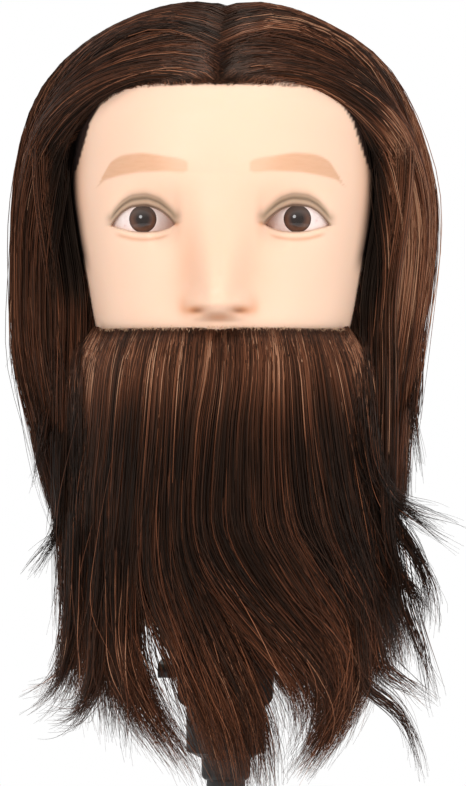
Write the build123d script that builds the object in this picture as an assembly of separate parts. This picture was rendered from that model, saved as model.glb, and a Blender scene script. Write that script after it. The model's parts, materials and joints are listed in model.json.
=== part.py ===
"""Mannequin training head with beard, on a tilting and swivelling table clamp.

Frame: millimetres, +Z up. The origin is where the post axis meets the table top,
which is the plane under the upper jaw's pad. The face looks along -Y and +X is the
viewer's right. Each function below builds one sub-assembly and writes its pieces.
"""
import os

from build123d import *

# ---------------------------------------------------------------- driving dimensions
GAP = 0.2  # clearance between pieces that only rest against each other
RUN = 0.05  # radial running clearance between a shaft and its bore
PRESS = 0.02  # radial room round a part that is pressed in

TILT_Z = 120.0  # height of the tilt axis above the table top
NECK_Z = 141.8  # underside of the neck
CHIN_Z = 220.0
EYE_Z = 325.6
HAIRLINE_Z = 385.0
MOUSTACHE_Z = 277.5
HAIR_TOP_Z = 431.0
HAIR_BOTTOM_Z = 65.0  # tips of the beard
SIDE_HAIR_Z = 96.0  # tips of the side hair
BACK_HAIR_Z = 142.0  # tips of the back hair

SKIN = 4.0  # wall of the soft vinyl head
EYE_X, EYE_Y, EYE_R = 34.3, -62.5, 15.5  # flat-backed eyes, larger than a real eyeball
IRIS_R = 6.1
LID = 2.0  # lids stand this far off the eye

FORK_W, FORK_D, FORK_SLOT = 44.0, 28.0, 24.0
DRUM_R, DRUM_TOP, DRUM_BOTTOM = 18.5, TILT_Z - 16, TILT_Z - 41.5
KNUCKLE_R, KNUCKLE_W = 13.0, 22.0
COLLAR_R, COLLAR_H = 11.4, 10.0
SPIGOT_R, SPIGOT_TOP = 7.0, TILT_Z - 22
GROOVE = 0.8  # depth of the spigot's groove for the lock screw
LOCK_Z, LOCK_R = TILT_Z - 29, 2.5
BOLT_R = 3.0  # tilt bolt

SPINDLE_R, SPINDLE_TOP = 8.0, 190.2
FLANGE_Z = TILT_Z + 15  # underside of the fixed flange under the peg
PEG_BASE_R, PEG_TOP_R, PEG_TOP_Z = 15.0, 13.0, 190.0
PEG_FLANGE_R = 26.0
SLEEVE_SCREW_R = 2.5
SOCKET_R, SOCKET_TOP = 20.0, 202.0
SOCKET_SCREW_R, SOCKET_SCREW_TOP = 1.8, 162.0
SOCKET_HEAD_R, SOCKET_HEAD_H = 3.6, 2.4

FRAME_W, ARM_TOP, ARM_BOTTOM = 30.0, 18.0, 3.0
SPINE_FRONT, SPINE_BACK = -58.0, -44.0
JAW_TIP = 36.0
LOWER_TOP, LOWER_BOTTOM, LOWER_TIP = -58.0, -72.0, 24.0
SCREW_Y, SCREW_R, SCREW_PITCH = 8.0, 5.0, 2.0
TANG_R, PIN_R, PIN_Z = 6.0, 1.5, 11.0  # foot of the post and the cross pin through it
BUSH_R, FOOT_PIN_R = 8.0, 4.0
TABLE_T = 18.0  # board held at rest, which sets the foot's height
BAR_R, BAR_LENGTH = 3.0, 74.0

# Head outline, as ellipses: height, half width, front y, back y
HEAD = [
    (NECK_Z, 51, -50, 51), (151, 50.6, -50, 50.6), (160, 50.2, -50, 50.2), (172, 50, -50, 49.6),
    (185, 50, -52, 49), (200, 50, -66, 50),
    (212, 48, -86, 54), (CHIN_Z, 49, -92, 58), (245, 53, -93, 70), (262, 56, -95, 79),
    (280, 59.5, -94, 86), (300, 63.5, -91, 92), (325, 68.5, -90, 95), (350, 71.5, -93, 96),
    (370, 71.5, -92, 95), (388, 68, -85, 90), (402, 60, -73, 80), (412, 48, -57, 66),
    (418, 35, -40, 50), (421, 18, -18, 28),
]
# Outside of the combed hair and beard, in the same form
HAIR_OUT = [
    (HAIR_BOTTOM_Z, 86, -97, 88), (100, 88, -100, 92), (140, 92, -104, 98), (190, 97, -110, 104),
    (240, 102, -112, 110), (280, 105, -107, 113), (320, 103, -103, 114), (350, 99, -99, 113),
    (377, 92, -94, 110), (395, 84, -86, 103), (410, 70, -72, 90), (421, 54, -54, 74),
    (428, 36, -36, 54), (HAIR_TOP_Z, 16, -16, 28),
]
# Tube of free space inside the hair, where the stand turns and tilts
HOLLOW_HALF, HOLLOW_FRONT, HOLLOW_BACK, HOLLOW_TOP = 72.0, -84.0, 70.0, 225.0
HAIR_CLEAR = 2.0  # hair stands this far off the skin
BEARD_HALF, BEARD_BACK = 78.0, -34.0
SPLIT_Y = 35.0  # the side hair ends and the back hair begins here
PART_GAP = 0.4  # between neighbouring locks of hair


def at(x, y, z):
    return Pos(x, y, z)


def rod(radius, length, axis="Z"):
    """A centred cylinder along the named axis."""
    turn = {"X": Rot(0, 90, 0), "Y": Rot(90, 0, 0), "Z": Rot(0, 0, 0)}[axis]
    return turn * Cylinder(radius, length)


def post(radius, low, high, x=0, y=0):
    """An upright cylinder between two heights."""
    return at(x, y, (low + high) / 2) * Cylinder(radius, high - low)


def block(x0, x1, y0, y1, z0, z1):
    """A box given by its limits."""
    centre = at((x0 + x1) / 2, (y0 + y1) / 2, (z0 + z1) / 2)
    return centre * Box(x1 - x0, y1 - y0, z1 - z0)


def stack(sections, grow=0.0):
    """A smooth body through elliptical sections, each made larger by grow."""
    rings = []
    for z, half, front, back in sections:
        ring = Rot(0, 0, 90) * Ellipse((back - front) / 2 + grow, half + grow)  # seam at the back
        rings.append(at(0, (front + back) / 2, z) * ring)
    return loft(rings)


def ball(radius, x, y, z):
    return at(x, y, z) * Sphere(radius)


def save(name, *solids):
    """Writes one node. Several solids in one node stay separate pieces."""
    shape = solids[0] if len(solids) == 1 else Compound(children=list(solids))
    export_step(shape, f"parts/{name}.step")


# ---------------------------------------------------------------- head
def ear(side, grow=0.0):
    """A flattened ear that leans back a little."""
    shape = scale(Sphere(1), (9 + grow, 17 + grow, 30 + grow))
    return at(side * 68, 12, 318) * Rot(12, 0, 0) * shape


def nose():
    """The nose as one faceted wedge, from the bridge to the tip, with its wings."""
    points = [
        (0, -86, 333), (0, -92, 322), (0, -113, 291), (0, -111, 285), (0, -98, 281),
        (9, -84, 322), (-9, -84, 322), (17, -84, 286), (-17, -84, 286), (14, -100, 284),
        (-14, -100, 284), (7, -109, 289), (-7, -109, 289), (0, -80, 281),
    ]
    return ConvexPolyhedron(points)


def eye_opening(side):
    """The almond between the lids, as a prism that reaches out of the face."""
    half_width, half_height = 14.5, 5.6
    radius = (half_width**2 + half_height**2) / (2 * half_height)
    lens = rod(radius, 40, "Y") & (at(0, 0, -2 * (radius - half_height)) * rod(radius, 40, "Y"))
    return at(side * EYE_X, EYE_Y - 20, EYE_Z + radius - half_height) * lens


def eye_room(side):
    """Space for one eye in the skin."""
    room = Rot(0, 0, 90) * Sphere(EYE_R + 0.1)
    return at(side * EYE_X, EYE_Y, EYE_Z) * (room - block(-30, 30, 2.2, 30, -30, 30))


def head_solids():
    inner = [(NECK_Z - 1, 51, -50, 51)] + [s for s in HEAD[1:] if s[0] < 415] + [(416.4, 26, -28, 38)]
    cavity = stack(inner, -SKIN)
    outside = stack(HEAD)
    for side in (1, -1):
        lids = ball(EYE_R + LID, side * EYE_X, EYE_Y, EYE_Z)
        outside += lids & block(-80, 80, -120, EYE_Y + 2, 0, 500)
    outside = outside + nose() + ear(1) + ear(-1)
    shell = outside - cavity
    for side in (1, -1):
        shell -= eye_room(side)
        shell -= eye_opening(side)

    plug_top = 146.0
    fill = stack(inner[:-1] + [(414.5, 28, -30, 40)], -SKIN - GAP)
    core = fill - block(-80, 80, -120, 120, NECK_Z - 5, plug_top + GAP)
    core -= post(SOCKET_R + GAP, NECK_Z, SOCKET_TOP + GAP)
    for side in (1, -1):
        core -= at(side * EYE_X, EYE_Y - 27.8, EYE_Z) * rod(EYE_R + GAP, 60, "Y")

    disc = fill & block(-80, 80, -120, 120, NECK_Z, plug_top)
    tube = post(SOCKET_R, plug_top - 1, SOCKET_TOP)
    bore = at(0, 0, (NECK_Z + PEG_TOP_Z) / 2) * Cone(
        PEG_BASE_R + GAP, PEG_TOP_R + GAP, PEG_TOP_Z - NECK_Z)
    socket = disc + tube - bore - post(PEG_TOP_R + GAP, PEG_TOP_Z - 0.5, SOCKET_TOP - 4)

    shank = post(SOCKET_SCREW_R, NECK_Z + 2, SOCKET_SCREW_TOP)
    screw = shank + post(SOCKET_HEAD_R, NECK_Z, NECK_Z + SOCKET_HEAD_H)
    hole = post(SOCKET_SCREW_R + RUN, NECK_Z, SOCKET_SCREW_TOP + 0.3)
    counterbore = post(SOCKET_HEAD_R + 2 * RUN, NECK_Z - 1, NECK_Z + SOCKET_HEAD_H + RUN)
    screws = []
    for angle in (90, 210, 330):
        place = Rot(0, 0, angle) * at(33, 0, 0)
        socket -= place * (hole + counterbore)
        core -= place * hole
        screws.append(place * screw)

    save("head_shell", shell)
    save("foam_core", core)
    save("neck_socket", socket)
    save("socket_screws", *screws)


def eye_solids(side, name):
    """A flat-backed eye with a pocket for the printed iris and a clear window over it."""
    centre = at(side * EYE_X, EYE_Y, EYE_Z)
    floor = -EYE_R + 2.2  # bottom of the iris pocket, measured from the eye's centre
    globe = Sphere(EYE_R) - block(-30, 30, 2, 30, -30, 30)
    pocket = at(0, floor - 5, 0) * rod(IRIS_R + RUN, 10, "Y")
    iris = at(0, floor - 0.3, 0) * rod(IRIS_R, 0.6, "Y")
    window = Sphere(EYE_R) & (at(0, floor - 5.6, 0) * rod(IRIS_R, 10, "Y"))
    save(f"eyeball_{name}", centre * (globe - pocket))
    save(f"iris_{name}", centre * iris)
    save(f"cornea_{name}", centre * window)


def hair_solids():
    tube = Ellipse(HOLLOW_HALF, (HOLLOW_BACK - HOLLOW_FRONT) / 2)
    tube = at(0, (HOLLOW_BACK + HOLLOW_FRONT) / 2, HAIR_BOTTOM_Z - 5) * tube
    mass = stack(HAIR_OUT)
    mass -= extrude(tube, amount=HOLLOW_TOP - HAIR_BOTTOM_Z + 5)
    mass -= stack(HEAD[:-1] + [(HEAD[-1][0] + 1.5, *HEAD[-1][1:])], HAIR_CLEAR)
    mass -= ear(1, 1.5)
    mass -= ear(-1, 1.5)

    line = MOUSTACHE_Z
    right_edge = [(46, HAIRLINE_Z), (54, 379), (63, 360), (69, 330), (66, 305), (58, line), (58, line - 4)]
    left_edge = [(-x, z) for x, z in reversed(right_edge)]
    outline = Polyline(*right_edge, *left_edge, right_edge[0])
    window = extrude(Plane.XZ * make_face(outline), amount=200)
    window &= block(-120, 120, -200, -28, 0, 500)

    beard_zone = block(-BEARD_HALF, BEARD_HALF, -130, BEARD_BACK, HAIR_BOTTOM_Z - 10, line)
    wide = BEARD_HALF + PART_GAP
    wide_zone = block(-wide, wide, -130, BEARD_BACK + PART_GAP, 0, line + PART_GAP)
    locks = mass - window - wide_zone
    save("beard", mass & beard_zone)
    save("hair_back", locks & block(-120, 120, SPLIT_Y + PART_GAP, 130, BACK_HAIR_Z, 500))
    save("hair_left", locks & block(-120, -PART_GAP / 2, -130, SPLIT_Y, SIDE_HAIR_Z, 500))
    save("hair_right", locks & block(PART_GAP / 2, 120, -130, SPLIT_Y, SIDE_HAIR_Z, 500))


# ---------------------------------------------------------------- peg, tilt and swivel
def peg_solids():
    flange_top = FLANGE_Z + 3
    sleeve = post(PEG_FLANGE_R, flange_top + GAP / 2, NECK_Z - GAP)
    sleeve += at(0, 0, (NECK_Z - GAP + PEG_TOP_Z) / 2) * Cone(
        PEG_BASE_R, PEG_TOP_R, PEG_TOP_Z - NECK_Z + GAP)
    sleeve -= post(SPINDLE_R + RUN, 130, 200)
    for i in range(8):
        groove = Rot(0, 0, 45 * i) * post(1.6, NECK_Z + 4, PEG_TOP_Z + 1, x=PEG_BASE_R)
        sleeve -= groove

    barrel = at(0, 0, TILT_Z) * rod(KNUCKLE_R, KNUCKLE_W, "X")
    neck = block(-KNUCKLE_W / 2, KNUCKLE_W / 2, -9, 9, TILT_Z, FLANGE_Z + 1)
    spindle = post(SPINDLE_R, FLANGE_Z, SPINDLE_TOP)
    knuckle = barrel + neck + post(20, FLANGE_Z, flange_top) + spindle
    knuckle -= at(0, 0, TILT_Z) * rod(BOLT_R + RUN, 60, "X")
    knuckle -= post(SLEEVE_SCREW_R + RUN, SPINDLE_TOP - 16, SPINDLE_TOP + 1)

    washer_top = SPINDLE_TOP + 1.5
    washer = post(11, SPINDLE_TOP, washer_top) - post(SLEEVE_SCREW_R + GAP, SPINDLE_TOP - 1, washer_top + 1)
    screw = post(SLEEVE_SCREW_R, SPINDLE_TOP - 14, washer_top + 0.5)
    screw += post(4.6, washer_top, washer_top + 3.2)
    hex_key = at(0, 0, washer_top + 2) * extrude(RegularPolygon(2.3, 6), amount=3)
    save("peg_sleeve", sleeve)
    save("tilt_post", knuckle)
    save("sleeve_washer", washer)
    save("sleeve_screw", screw - hex_key)


def swivel_solids():
    cheeks = block(-FORK_W / 2, FORK_W / 2, -FORK_D / 2, FORK_D / 2, DRUM_TOP, TILT_Z)
    cheeks += at(0, 0, TILT_Z) * rod(FORK_D / 2, FORK_W, "X")
    low_edges = cheeks.edges().filter_by(Axis.Y).group_by(Axis.Z)[0]
    cheeks = fillet(low_edges, 4.5)
    drum = post(DRUM_R, DRUM_BOTTOM + 3.4, DRUM_TOP + 0.5)
    skirt = at(0, 0, DRUM_BOTTOM + 1.7) * Cone(COLLAR_R + 0.2, DRUM_R, 3.4)
    head = cheeks + drum + skirt
    slot_floor = TILT_Z - 15
    head -= block(-FORK_SLOT / 2, FORK_SLOT / 2, -40, 40, slot_floor, 200)
    head -= post(SPIGOT_R + RUN, DRUM_BOTTOM - 1, SPIGOT_TOP + GAP)
    head -= post(10, DRUM_BOTTOM - 1, DRUM_BOTTOM + 1.6)
    head -= at(0, 0, TILT_Z) * rod(BOLT_R + RUN, 60, "X")
    pocket = at(FORK_W / 2 - 5.2, 0, TILT_Z) * Rot(0, 90, 0) * extrude(RegularPolygon(5.85, 6), amount=6)
    head -= pocket
    head -= at(0, 12, LOCK_Z) * rod(LOCK_R + RUN, 16, "Y")
    save("swivel_head", head)

    low, high = KNUCKLE_W / 2 + RUN, FORK_SLOT / 2 - RUN
    disc = rod(11, high - low, "X") - rod(BOLT_R + GAP, 5, "X")
    middle = (low + high) / 2
    save("tilt_washers", at(middle, 0, TILT_Z) * disc, at(-middle, 0, TILT_Z) * disc)
    nut = Rot(0, 90, 0) * extrude(RegularPolygon(5.7, 6), amount=5)
    nut = at(FORK_W / 2 - 5.1, 0, TILT_Z) * nut - at(20, 0, TILT_Z) * rod(BOLT_R + RUN, 30, "X")
    save("tilt_nut", nut)
    ring = post(9.8, DRUM_BOTTOM + 0.05, DRUM_BOTTOM + 1.5) - post(SPIGOT_R + 0.2, 70, 90)
    save("swivel_washer", ring)

    handle_in, handle_out = -FORK_W / 2 - 0.6, -FORK_W / 2 - 9.0
    bolt_start, bolt_end = handle_out + 3, FORK_W / 2 + 1
    bolt = at((bolt_start + bolt_end) / 2, 0, TILT_Z) * rod(BOLT_R, bolt_end - bolt_start, "X")
    square = Rot(0, 90, 0) * extrude(RegularPolygon(3.05, 4), amount=3.8)
    square = at(handle_in - 4, 0, TILT_Z) * square
    bolt += square & block(-40, 0, -10, 10, TILT_Z - 2.6, TILT_Z + 2.6)
    bar = block(handle_out, handle_in, -14, 14, TILT_Z - 3.2, TILT_Z + 3.2)
    for y in (-14, 14):
        bar += at((handle_in + handle_out) / 2, y, TILT_Z) * rod(3.2, handle_in - handle_out, "X")
    save("tilt_bolt", bolt)
    save("tilt_handle", bar - bolt)

    tip = SPIGOT_R - GROOVE + 0.15
    stem_end = DRUM_R + 5
    lock = at(0, (tip + stem_end) / 2, LOCK_Z) * rod(LOCK_R, stem_end - tip, "Y")
    knob = at(0, DRUM_R + 1.2 + 7, LOCK_Z) * rod(9, 14, "Y")
    for i in range(6):
        knob -= at(0, DRUM_R + 8.2, LOCK_Z) * Rot(0, 60 * i, 0) * at(10.2, 0, 0) * rod(2.6, 16, "Y")
    save("lock_screw", lock)
    save("lock_knob", knob - lock)


# ---------------------------------------------------------------- table clamp
def clamp_solids():
    collar_top = DRUM_BOTTOM - 0.05
    collar = fillet(post(COLLAR_R, collar_top - COLLAR_H, collar_top).edges().group_by(Axis.Z)[0], 2.4)
    stem = post(9, ARM_TOP, collar_top - COLLAR_H + 1)
    flare = at(0, 0, ARM_TOP + 5) * Cone(14, 9, 10)
    spigot = post(SPIGOT_R, collar_top - 1, SPIGOT_TOP)
    spigot -= post(SPIGOT_R + 1, LOCK_Z - 3, LOCK_Z + 3) - post(SPIGOT_R - GROOVE, LOCK_Z - 4, LOCK_Z + 4)
    tang = post(TANG_R, ARM_BOTTOM + 1, ARM_TOP + 1)
    cross = at(0, 0, PIN_Z) * rod(PIN_R + RUN, 60, "X")
    save("swivel_post", collar + stem + flare + spigot + tang - cross)
    save("post_pin", at(0, 0, PIN_Z) * rod(PIN_R, FRAME_W - 2, "X"))

    corners = [
        (SPINE_FRONT, LOWER_BOTTOM), (LOWER_TIP, LOWER_BOTTOM), (LOWER_TIP, LOWER_TOP),
        (SPINE_BACK, LOWER_TOP), (SPINE_BACK, ARM_BOTTOM), (JAW_TIP, ARM_BOTTOM),
        (JAW_TIP, ARM_TOP - 3), (18, ARM_TOP), (SPINE_FRONT, ARM_TOP), (SPINE_FRONT, LOWER_BOTTOM),
    ]
    side = Plane.YZ * make_face(Polyline(*corners))
    frame = extrude(side, amount=FRAME_W / 2, both=True)
    for corner_y, radius in ((SPINE_FRONT, 9), (SPINE_BACK, 5)):
        bends = [e for e in frame.edges().filter_by(Axis.X) if abs(e.center().Y - corner_y) < 1]
        frame = fillet(bends, radius)
    rib = 3.5  # each side is hollowed to this far from the frame's edges
    panels = [
        (SPINE_FRONT + rib, SPINE_BACK - rib, LOWER_TOP + 2, ARM_BOTTOM - 2),
        (SPINE_BACK - 1, -12, ARM_BOTTOM + rib, ARM_TOP - rib),
        (SPINE_BACK - 1, SCREW_Y - 12, LOWER_BOTTOM + rib, LOWER_TOP - rib),
    ]
    for y0, y1, z0, z1 in panels:
        for x0, x1 in ((FRAME_W / 2 - 5, 30), (-30, 5 - FRAME_W / 2)):
            frame -= block(x0, x1, y0, y1, z0, z1)
    frame -= post(TANG_R + PRESS, ARM_BOTTOM, ARM_TOP + 1) + cross
    frame -= post(BUSH_R + PRESS, LOWER_BOTTOM - 1, LOWER_TOP + 1, y=SCREW_Y)
    save("clamp_frame", frame)

    pad = block(-14, 14, SPINE_BACK + 8, JAW_TIP - 2, 0, ARM_BOTTOM)
    pad = fillet(pad.edges().filter_by(Axis.Z), 4)
    save("jaw_pad", pad)
    bush = post(BUSH_R, LOWER_BOTTOM, LOWER_TOP, y=SCREW_Y)
    bush += post(BUSH_R + 2, LOWER_BOTTOM - 2, LOWER_BOTTOM, y=SCREW_Y)
    save("screw_bush", bush - post(SCREW_R + RUN, -90, -40, y=SCREW_Y))

    pad_top = -TABLE_T
    plate_top = pad_top - 3
    plate = post(16, plate_top - 4, plate_top, y=SCREW_Y) + post(9, plate_top - 10, plate_top - 3, y=SCREW_Y)
    plate -= post(FOOT_PIN_R + RUN, plate_top - 11, plate_top - 2, y=SCREW_Y)
    plate = fillet(plate.edges().group_by(Axis.Z)[-1], 0.8)
    save("foot_plate", plate)
    save("foot_pad", post(15, plate_top, pad_top, y=SCREW_Y))
    clip = post(7, plate_top - 11.4, plate_top - 10.1, y=SCREW_Y)
    save("foot_clip", clip - post(FOOT_PIN_R + RUN, -60, -20, y=SCREW_Y))

    hub_top, hub_bottom = LOWER_BOTTOM - 21, LOWER_BOTTOM - 35
    nose_pin = post(FOOT_PIN_R, plate_top - 11.6, plate_top - 2.2, y=SCREW_Y)
    root_r = SCREW_R - 1.2
    screw = nose_pin + post(root_r, hub_top, plate_top - 11.5, y=SCREW_Y)
    turns = int((plate_top - 14 - hub_top - 4) / SCREW_PITCH)
    for i in range(turns):
        z = hub_top + 4 + SCREW_PITCH * (i + 0.5)
        for low_r, high_r, shift in ((root_r, SCREW_R, -0.35), (SCREW_R, root_r, 0.35)):
            screw += at(0, SCREW_Y, z + shift) * Cone(low_r, high_r, 0.7)
    screw += post(8, hub_bottom, hub_top, y=SCREW_Y)
    bar_z = (hub_top + hub_bottom) / 2
    screw -= at(0, SCREW_Y, bar_z) * rod(BAR_R + RUN, 40, "X")
    save("clamp_screw", screw)

    bar = at(0, SCREW_Y, bar_z) * rod(BAR_R, BAR_LENGTH, "X")
    save("tommy_bar", bar)
    caps = []
    for side in (1, -1):
        cap = at(side * (BAR_LENGTH / 2 + 1), SCREW_Y, bar_z) * rod(5, 10, "X")
        cap = fillet(cap.edges(), 1.8)
        caps.append(cap - at(0, SCREW_Y, bar_z) * rod(BAR_R, BAR_LENGTH, "X"))
    save("bar_caps", *caps)


def main():
    os.makedirs("parts", exist_ok=True)
    head_solids()
    eye_solids(-1, "left")
    eye_solids(1, "right")
    hair_solids()
    peg_solids()
    swivel_solids()
    clamp_solids()


main()
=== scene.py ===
import json
import math

import bpy
import numpy as np
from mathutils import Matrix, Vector


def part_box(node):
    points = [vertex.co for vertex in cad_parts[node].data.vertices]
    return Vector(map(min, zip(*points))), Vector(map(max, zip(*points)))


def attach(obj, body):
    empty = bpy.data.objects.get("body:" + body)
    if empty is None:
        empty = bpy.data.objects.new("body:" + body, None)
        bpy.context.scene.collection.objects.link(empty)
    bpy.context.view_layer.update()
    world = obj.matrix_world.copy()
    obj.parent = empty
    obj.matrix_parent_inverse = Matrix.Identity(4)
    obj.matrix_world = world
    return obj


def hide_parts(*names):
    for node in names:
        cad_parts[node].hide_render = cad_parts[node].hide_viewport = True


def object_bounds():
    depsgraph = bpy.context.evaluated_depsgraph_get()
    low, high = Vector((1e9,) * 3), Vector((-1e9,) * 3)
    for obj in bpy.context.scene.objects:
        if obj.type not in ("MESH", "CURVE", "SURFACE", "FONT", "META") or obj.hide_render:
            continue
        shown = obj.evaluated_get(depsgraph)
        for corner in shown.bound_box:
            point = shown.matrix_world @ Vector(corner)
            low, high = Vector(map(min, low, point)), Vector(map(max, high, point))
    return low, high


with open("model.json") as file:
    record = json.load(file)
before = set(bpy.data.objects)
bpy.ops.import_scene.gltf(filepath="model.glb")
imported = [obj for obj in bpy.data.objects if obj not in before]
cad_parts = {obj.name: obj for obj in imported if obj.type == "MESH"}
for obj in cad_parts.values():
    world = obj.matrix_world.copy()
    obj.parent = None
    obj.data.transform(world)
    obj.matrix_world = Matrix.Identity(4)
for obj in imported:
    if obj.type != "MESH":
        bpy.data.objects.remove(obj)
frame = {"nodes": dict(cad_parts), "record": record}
START_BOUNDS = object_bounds()
MM = 0.001
K = 26  # points along each strand
# this layer's name, because the export keeps a layer of that name
UV = "OFBake"  # the UV layer that holds each strand's place in the palette and along its length


# ---------------------------------------------------------------- where things are
def centre_mm(node):
    low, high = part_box(node)
    return np.array((low + high) / 2) / MM


MOUSTACHE_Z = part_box("beard")[1].z / MM
EYE = centre_mm("iris_right")
EYE_R = (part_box("eyeball_right")[1].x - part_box("eyeball_right")[0].x) / 2 / MM
EYE_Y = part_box("eyeball_right")[0].y / MM + EYE_R  # depth of the eyeballs' centres
LID = 1.5  # the lids stand this far off the eyeball
INNER, OUTER = -14.8, 14.5  # corners of the eye, outward from its centre
FACE_ANGLE = 1.35  # the face's features lie within this angle of the front
FACE_Y = -88.0  # depth of the face, from which the camera's distance is counted
AXIS = np.array([0.0, 5.0, 0.0])  # upright axis through the middle of the head

# Head outline: height, half width, front y, back y
HEAD = np.array([
    (141.8, 51, -50, 51), (151, 50.6, -50, 50.6), (160, 50.2, -50, 50.2), (172, 50, -50, 49.6),
    (185, 50, -52, 49), (200, 50, -66, 50), (212, 48, -86, 54), (220, 49, -92, 58), (245, 53, -93, 70),
    (262, 56, -95, 79), (280, 59.5, -94, 86), (300, 63.5, -91, 92), (325, 68.5, -90, 95),
    (350, 71.5, -93, 96), (370, 71.5, -92, 95), (388, 68, -85, 90), (402, 60, -73, 80),
    (412, 48, -57, 66), (418, 35, -40, 50), (421, 18, -18, 28),
])
# Outside of the hair: height, half width on the left, on the right, front y, back y
HAIR = np.array([
    (60, 80, 82, -94, 86), (95, 84, 84, -96, 90), (120, 75, 80, -99, 94), (142, 70, 76, -101, 97),
    (170, 73, 79, -103, 101), (184, 77, 81, -104, 103), (198, 83, 83, -105, 105),
    (208, 86, 86, -105, 107), (222, 88.5, 84, -105, 108), (245, 94, 86.5, -105, 110),
    (268, 99.5, 90, -104, 112), (301, 100, 95.2, -102, 113), (325, 100.5, 98, -99, 113),
    (348, 99, 97, -96, 112), (362, 97, 93.5, -94, 111), (377, 93, 88.5, -92, 109),
    (388, 88.5, 83.5, -88.5, 104), (400, 80.3, 76.2, -79, 97), (410, 69.5, 66, -68, 88),
    (418, 57, 53, -55, 76), (425, 42, 39.5, -39, 60), (429, 28, 26, -25, 42), (431, 10, 10, -8, 18),
])


def smooth_table(x, xs, ys):
    """Monotone cubic interpolation, so that a profile has no corners and no overshoot."""
    x = np.clip(x, xs[0], xs[-1])
    h = np.diff(xs)
    d = np.diff(ys) / h
    slope = np.zeros(len(xs))
    same = d[:-1] * d[1:] > 0
    w1 = 2 * h[1:] + h[:-1]
    w2 = h[1:] + 2 * h[:-1]
    mixed = (w1 + w2) / (w1 / np.where(same, d[:-1], 1) + w2 / np.where(same, d[1:], 1))
    slope[1:-1] = np.where(same, mixed, 0)
    slope[0], slope[-1] = d[0], d[-1]
    i = np.clip(np.searchsorted(xs, x) - 1, 0, len(h) - 1)
    t = (x - xs[i]) / h[i]
    a, b = ys[i], ys[i + 1]
    return (a * (1 + 2 * t) * (1 - t) ** 2 + b * t * t * (3 - 2 * t)
            + h[i] * (slope[i] * t * (1 - t) ** 2 - slope[i + 1] * t * t * (1 - t)))


def column(table, z, number):
    """One column of an outline table, read at any height."""
    return smooth_table(z, table[:, 0], table[:, number])


def ease(x, low, high):
    """0 below low, 1 above high, and a smooth step between them."""
    t = np.clip((x - low) / (high - low), 0, 1)
    return t * t * (3 - 2 * t)


def bump(x, z, cx, cz, wx, wz):
    """A round hill of height 1 about (cx, cz)."""
    return np.exp(-((x - cx) / wx) ** 2 - ((z - cz) / wz) ** 2)


def ridge(distance, width):
    """A hill of height 1 along the line where the distance is 0."""
    return np.exp(-(distance / width) ** 2)


# ---------------------------------------------------------------- meshes
def make_mesh(name, verts_mm, faces):
    """A smooth mesh from millimetre vertices and faces of one kind. It rides on the head."""
    mesh = bpy.data.meshes.new(name)
    verts = np.asarray(verts_mm, np.float32).reshape(-1, 3) * MM
    faces = np.asarray(faces, np.int32)
    corners = faces.shape[1]
    mesh.vertices.add(len(verts))
    mesh.vertices.foreach_set("co", verts.ravel())
    mesh.loops.add(faces.size)
    mesh.loops.foreach_set("vertex_index", faces.ravel())
    mesh.polygons.add(len(faces))
    mesh.polygons.foreach_set("loop_start", np.arange(0, faces.size, corners, dtype=np.int32))
    mesh.polygons.foreach_set("use_smooth", np.full(len(faces), True))
    mesh.update(calc_edges=True)
    obj = bpy.data.objects.new(name, mesh)
    bpy.context.scene.collection.objects.link(obj)
    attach(obj, "head")
    return obj


def grid_faces(rows, cols, wrap=True):
    """Quads of a grid of points, closed round its columns if it wraps."""
    r = np.arange(rows - 1)[:, None]
    c = np.arange(cols if wrap else cols - 1)[None, :]
    n = (c + 1) % cols
    faces = np.stack([r * cols + c, r * cols + n, (r + 1) * cols + n, (r + 1) * cols + c], -1)
    return faces.reshape(-1, 4)


def closed_sheet(name, outer, inner, rows, cols):
    """Two grids of points joined by a rim, which makes a thin closed shell."""
    outer, inner = outer.reshape(-1, 3), inner.reshape(-1, 3)
    count = rows * cols
    faces = grid_faces(rows, cols, wrap=False)
    right = np.arange(2 * cols - 1, rows * cols, cols)
    top = np.arange(rows * cols - 2, (rows - 1) * cols - 1, -1)
    left = np.arange((rows - 2) * cols, 0, -cols)
    loop = np.concatenate([np.arange(cols), right, top, left])
    following = np.roll(loop, -1)
    rim = np.stack([loop, following, following + count, loop + count], -1)
    faces = np.concatenate([faces, faces[:, ::-1] + count, rim[:, ::-1]])
    return make_mesh(name, np.concatenate([outer, inner]), faces)


def dress(obj, material):
    """Gives a piece its material."""
    obj.data.materials.append(material)


def point_attribute(obj, name, values):
    """A number per vertex that a material can read."""
    attribute = obj.data.attributes.new(name, "FLOAT", "POINT")
    attribute.data.foreach_set("value", np.asarray(values, np.float32).ravel())


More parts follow.
